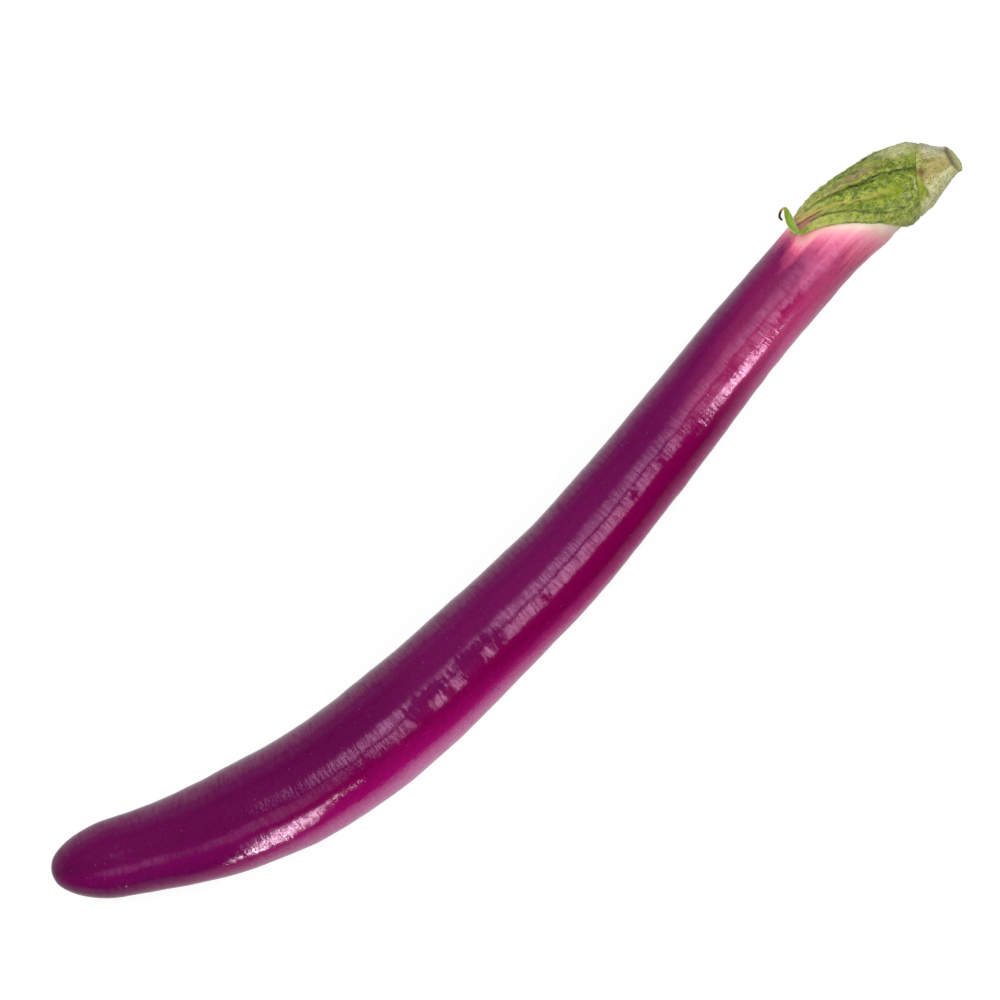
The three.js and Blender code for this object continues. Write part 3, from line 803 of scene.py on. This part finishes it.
def make_hairs(outside, back):
    rng = np.random.default_rng(3)
    along = np.gradient(outside, axis=0)
    normals = np.cross(along, np.gradient(outside, axis=1))
    area = np.linalg.norm(normals, axis=-1)
    area[:BARE_RINGS] = 0
    centre = beside(LENGTH - back, 0 * back, 0 * back)
    normals = unit(normals) * np.sign(np.sum(normals * (outside - centre), -1, keepdims=True))
    pick = rng.choice(area.size, HAIRS, p=(area / area.sum()).ravel())
    root, up, way = (rows.reshape(-1, 3)[pick] for rows in (outside, normals, unit(along)))
    across = np.cross(up, way)
    length = rng.uniform(0.7, 1.8, HAIRS)
    lean = rng.normal(0, 0.9, HAIRS)
    rise = rng.uniform(0.15, 0.5, HAIRS)
    tip = root + (up * rise[:, None] + way + across * lean[:, None]) * 0.7 * length[:, None]
    tip[:, 2] = np.maximum(tip[:, 2], 0.15)
    return spikes("calyx_hairs", root - 0.05 * up, tip, rng.uniform(0.025, 0.042, HAIRS), 3,
                  rng.uniform(-0.15, 0.15, HAIRS), tint=rng.uniform(0, 1, HAIRS))


def hair_material():
    sh = Shader("hair_white", Roughness=0.4, IOR=1.45)
    sh.wire(Base_Color=sh.mix(sh.value("tint"), (214, 222, 160), (248, 250, 226)))
    return sh.material


# ---- The cut stem ----

STEM_SIDES, FACE_RINGS, SIDE_RINGS = 120, 10, 60
RIM_STEP = 0.18  # from the rim of the cut to the first ring of the side
TUCK = 1.1  # how far the stem runs on under the calyx's crown


def make_stem():
    rng = np.random.default_rng(21)
    angle = round_angles(STEM_SIDES)
    cut = CUT_DEPTH * np.cos(angle - math.radians(CUT_ANGLE))
    ribs = STEM_RIB_DEPTH * np.cos(STEM_RIBS * angle + STEM_RIB_PHASE)
    # The cut face, from its middle to its rim, a little hollow.
    share = (np.arange(1, FACE_RINGS + 1) / FACE_RINGS)[:, None]
    hollow = 0.15 * (1 - share**2) * (1 - 0.5 * share)
    face_back = CUT_DEPTH + cut * share + hollow
    rim_rib = ribs * np.minimum(1, (CUT_DEPTH + cut) / STEM_RIBS_START)
    face_radius = cap_radius(CUT_DEPTH + cut, angle) * share * 0.97 * (1 + rim_rib)
    # The side, from the rim to just under the calyx's crown.
    t = (np.linspace(0, 1, SIDE_RINGS) ** 0.9)[:, None]
    side_back = (CUT_DEPTH + cut + RIM_STEP) + (crown_at(angle) + TUCK - CUT_DEPTH - cut - RIM_STEP) * t
    rib = ribs * (1 - t) * np.minimum(1, side_back / STEM_RIBS_START)
    side_radius = cap_radius(side_back, angle) * (1 + rib)
    side_radius = side_radius - 0.45 * smoothstep(side_back - crown_at(angle), -1.2, 0.3)

    back = np.concatenate([face_back, side_back])
    radius = np.concatenate([face_radius, side_radius])
    turn = np.broadcast_to(angle, back.shape)
    flat = straightened(LENGTH - back, turn, radius)
    face = np.concatenate([np.ones((FACE_RINGS, 1)), np.zeros((SIDE_RINGS, 1))])
    on_side = (1 - face) * (1 - smoothstep(back - crown_at(angle), -0.8, 0))
    creases = 0.06 * np.cos(17 * turn + 2.2 * np.sin(back / 3.1))
    creases = creases + 0.035 * np.cos(31 * turn + 1.7 * np.sin(back / 2 + 1))
    relief = (creases * smoothstep(back, 0, 3) + 0.06 * lumpy(rng, flat, 1, 3, 60)) * on_side
    back = back + 0.07 * lumpy(rng, flat, 0.8, 2, 40) * face
    rows = around(LENGTH - back, turn, radius + relief)

    side = np.degrees(turn)
    spot = lambda at, mid, long, wide: bell(back - at, long) * bell(side - mid, wide)
    across = np.cos(turn - math.radians(CUT_ANGLE))
    leafy_from = back - 3 * (1 - smoothstep(side, 32, 50))
    on_face = (1 - share) * 4.6 * np.ones_like(cut)
    fields = {
        "face": np.broadcast_to(face, back.shape),
        # Distance from the rim of the cut, on the face and on the side.
        "rim": np.concatenate([on_face, back[-SIDE_RINGS:] - CUT_DEPTH - cut]),
        "above": np.concatenate([share * across[:FACE_RINGS], across[FACE_RINGS:]]),
        "tan": window(side, 64, 80, 104, 116),
        "top": 1 - smoothstep(np.abs(side - 10), 30, 52),
        "lime": window(side, 92, 102, 122, 142) * smoothstep(back, 13.6, 15.6),
        "green": window(side, -20, 10, 84, 98) * smoothstep(leafy_from, 10, 13.4),
        "mauve": 0.7 * spot(12, 66, 2, 5) + 0.6 * spot(8, 62, 3, 4) + 0.8 * spot(4.6, 48, 1.2, 14),
        "ridge": 1.2 * spot(10, 73, 3.5, 3.4) + spot(14, 73, 2, 5),
        "brown": spot(14.2, 90, 1.6, 9) + 0.7 * spot(16, 78, 1.5, 6),
        "seam": crown_at(turn) - back,
    }
    ends = {"face": (1, 0), "rim": (3, 9), "seam": (16, -1)}
    attributes = {name: field(values, *ends.get(name, (0, 0))) for name, values in fields.items()}
    attributes["place"] = flatten([LENGTH - 1, 0, 0], flat, [LENGTH - 17, 0, 0])
    points = flatten(around(LENGTH - CUT_DEPTH - 0.15, 0, 0), rows, around(LENGTH - CROWN_BACK - TUCK, 0, 0))
    faces, uv = closed_grid(len(rows) + 1, STEM_SIDES)
    return make_object("stem_stalk", points, faces, attributes, uv)


def stem_material():
    sh = Shader("stalk_tan", Roughness=0.55, IOR=1.45)
    place = sh.vector("place")
    mottle = sh.noise(place, 0.6, 4, 0.65)
    fine = sh.noise(sh.vector("place", (0.35, 1, 1)), 2.0, 4, 0.7)
    uneven = lambda name, source, low, high, less, more, clamp=False: sh.plus(
        sh.value(name), sh.span(source, low, high, less, more), clamp)
    shown = lambda name, source, low, high, less, more: sh.times(
        sh.value(name), sh.span(source, low, high, less, more), True)
    pale = sh.ramp(mottle, (0.38, (222, 222, 134)), (0.6, (255, 254, 212)))
    tan = sh.ramp(mottle, (0.38, (188, 172, 92)), (0.62, (234, 218, 150)))
    cream = sh.mix(sh.span(fine, 0.35, 0.6), (216, 200, 160), (255, 250, 226))
    leafy = sh.ramp(fine, (0.35, (112, 126, 30)), (0.5, (182, 186, 96)), (0.62, (238, 236, 178)))
    cut = sh.ramp(sh.span(uneven("above", fine, 0.3, 0.7, -0.25, 0.25), -1, 1),
                  (0.25, (240, 240, 170)), (0.5, (206, 200, 134)), (0.8, (150, 136, 96)))
    cut = sh.mix(sh.span(sh.value("rim"), 0.0, 0.6, 0.7, 0.0), cut, (206, 204, 132))
    dots = sh.cells(sh.vector("place", (0.6, 1, 1)), 0.9)
    colour = sh.layers(
        pale,
        (uneven("tan", fine, 0.3, 0.7, -0.25, 0.25, True), tan),
        (sh.value("top"), cream),
        (sh.span(fine, 0.34, 0.48, 0.75, 0.0), (150, 132, 74)),
        (sh.span(dots, 0.14, 0.26, 0.8, 0.0), (126, 110, 42)),
        (shown("mauve", mottle, 0.35, 0.55, 0.3, 1.0), (168, 146, 122)),
        (shown("ridge", fine, 0.35, 0.6, 0.9, 0.3), (132, 112, 48)),
        (sh.span(uneven("seam", mottle, 0.3, 0.7, -1.0, 1.0), 0.3, 2.2, 0.85, 0.0), (186, 194, 100)),
        (sh.span(uneven("green", mottle, 0.3, 0.7, -0.4, 0.4), 0.35, 0.75), leafy),
        (sh.span(uneven("lime", mottle, 0.35, 0.65, -0.6, 0.5), 0.2, 0.9),
         sh.mix(fine, (110, 130, 0), (170, 186, 24))),
        (shown("brown", fine, 0.3, 0.5, 0.4, 1.0), (118, 78, 22)),
        (sh.times(sh.span(sh.value("rim"), 0.0, 0.7, 0.6, 0.0), sh.span(fine, 0.3, 0.6, 1.0, 0.5)),
         (116, 100, 56)),
        (sh.value("face"), cut),
    )
    sh.wire(Base_Color=colour, Normal=sh.bump(sh.noise(place, 2.2, 4, 0.65), 0.0004, 0.8))
    return sh.material


# ---- The dressed part ----

def dress(piece, material, node=None):
    piece.data.materials.append(material)
    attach(piece, "root")
    if node:
        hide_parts(node)


dress(make_fruit(), fruit_material(), "fruit")
calyx, calyx_outside, calyx_back = make_calyx()
dress(calyx, calyx_material(), "calyx")
dress(make_stem(), stem_material(), "stem")
dress(make_curl(), curl_material())
dress(make_prickles(), prickle_material())
dress(make_hairs(calyx_outside, calyx_back), hair_material())


# ---- Floor, lights and camera ----

FLOOR_HALF = 6.0
WHITENING = (0.83, 1, 0.9)  # offsets the tint of the skin's gloss, so that highlights read white


def make_floor():
    """A plain white table whose glow is painted light. Reflections see it dimmer than the camera does, the
    more so further off.
    """
    corners = [(x * FLOOR_HALF, y * FLOOR_HALF, 0) for x, y in ((-1, -1), (1, -1), (1, 1), (-1, 1))]
    mesh = bpy.data.meshes.new("floor")
    mesh.from_pydata(corners, [], [(0, 1, 2, 3)])
    floor = put_in_scene("floor", mesh)
    sh = Shader("table_white", Base_Color=(0.26, 0.26, 0.26, 1), Roughness=0.6, Specular_IOR_Level=0.0,
                Emission_Color=(1, 1, 1, 1))
    place = sh.node("ShaderNodeTexCoord").outputs["Object"]
    oval = sh.node("ShaderNodeMapping", {"Vector": place, "Location": (0, -0.04, 0), "Scale": (0.5, 1, 1)})
    reach = sh.node("ShaderNodeVectorMath", {0: oval.outputs["Vector"]}, operation="LENGTH").outputs["Value"]
    # Painted light: away from the camera the glow is a pool, brightest round the fruit and fading further
    # off; it lights the fruit and shows in its gloss. To the camera the table glows near white.
    glow_off_camera = sh.ramp(sh.span(reach, 0, 0.5), (0.0, 0.62), (0.12, 0.54), (0.24, 0.3), (0.45, 0.16), (1.0, 0.05))
    bare = sh.ramp(sh.span(reach, 0, 0.5), (0.0, 0.8), (0.2, 0.86), (0.5, 0.96))
    seen = sh.node("ShaderNodeLightPath").outputs["Is Camera Ray"]
    sh.wire(Emission_Strength=sh.mix(seen, glow_off_camera, bare))
    mesh.materials.append(sh.material)


def add_panel(name, centre, across, up, radiance, colour=(1, 1, 1)):
    """A softbox: its centre and its two edges, in the centre line's frame, in millimetres."""
    across, up = Vector(across), Vector(up)
    data = bpy.data.lights.new(name, "AREA")
    data.shape = "RECTANGLE"
    data.size, data.size_y = across.length * MM, up.length * MM
    data.color = colour
    data.energy = radiance * math.pi * data.size * data.size_y
    lamp = put_in_scene(name, data)
    x, z = across.normalized(), across.cross(up).normalized()
    lamp.matrix_world = Matrix((x, z.cross(x), z)).transposed().to_4x4()
    lamp.location = to_frame(centre)[0]
    lamp.visible_camera = False
    return lamp


def soften(lamp):
    """Lets a panel's light fade towards its upper edge."""
    graph = Graph(lamp.data)
    place = graph.node("ShaderNodeNewGeometry").outputs["Parametric"]
    up = graph.node("ShaderNodeSeparateXYZ", {"Vector": place}).outputs["Y"]
    graph.put(graph.tree.nodes["Emission"].inputs["Strength"], graph.span(up, 0.0, 1.0, 1.0, 0.0))


def make_world():
    """White to the camera; what the fruit mirrors is a dim room, with a glow low on the fill's side."""
    world = bpy.data.worlds.new("studio")
    bpy.context.scene.world = world
    graph = Graph(world)
    generated = graph.node("ShaderNodeTexCoord").outputs["Generated"]
    way = graph.node("ShaderNodeSeparateXYZ", {"Vector": generated}).outputs
    low = graph.span(way["Z"], 0.0, 0.4, 0.34, 0.0, interpolation_type="SMOOTHSTEP")
    glow = graph.math("MULTIPLY_ADD", low, graph.span(way["Y"], -0.3, 0.5), 0.02)
    seen = graph.node("ShaderNodeLightPath").outputs["Is Camera Ray"]
    background = graph.tree.nodes["Background"].inputs
    graph.put(background["Strength"], graph.math("MAXIMUM", seen, glow))
    graph.put(background["Color"], (1, 1, 1, 1))


make_floor()
add_panel("softbox_side", (290, -373, 700), (320, 101, 0), (-135, 433, 0), 5.8)
soften(add_panel("softbox_top", (294, 190, 900), (430, 55, 0), (-53, 494, 0), 4.2))
add_panel("softbox_end", (88, 60, 880), (176, 0, 0), (0, 400, 0), 4.6)
# Accents for the gloss alone.
for accent in (
    add_panel("strip_left", (-150, -500, 195), (36, 0, -15), (134, 0, 370), 60.0, WHITENING),
    add_panel("haze_left", (-165, -500, 275), (110, 0, 0), (70, 0, 290), 5.0),
    add_panel("panel_right", (284, -59, 64), (11, 3, 1), (-4, 24, 28), 34.0, WHITENING),
    add_panel("bounce_left", (-480, -440, 900), (820, 0, 0), (0, 420, 0), 1.0),
):
    accent.visible_diffuse = False
fill = add_panel("fill", (150, 700, 900), (1000, 0, 0), (0, 720, -540), 2.3)
fill.visible_glossy = False
make_world()

# The camera looks straight down; AIM is the point below it, at the fruit's middle height.
DISTANCE, FIELD, SENSOR = 1.1, 0.3106, 36  # to AIM (m), width of the view there (m), sensor width (mm)
AIM, CAMERA_TURN = (0.00212, 0.01755, 0.016), -38.9
camera_data = bpy.data.cameras.new("camera")
camera_data.sensor_width = SENSOR
camera_data.lens = SENSOR * DISTANCE / FIELD
camera = put_in_scene("camera", camera_data)
camera.location = (AIM[0], AIM[1], DISTANCE + AIM[2])
camera.rotation_euler = (0, 0, math.radians(CAMERA_TURN))
bpy.context.scene.camera = camera
bpy.context.scene.view_settings.view_transform = "Standard"
bpy.context.scene.view_settings.look = "None"
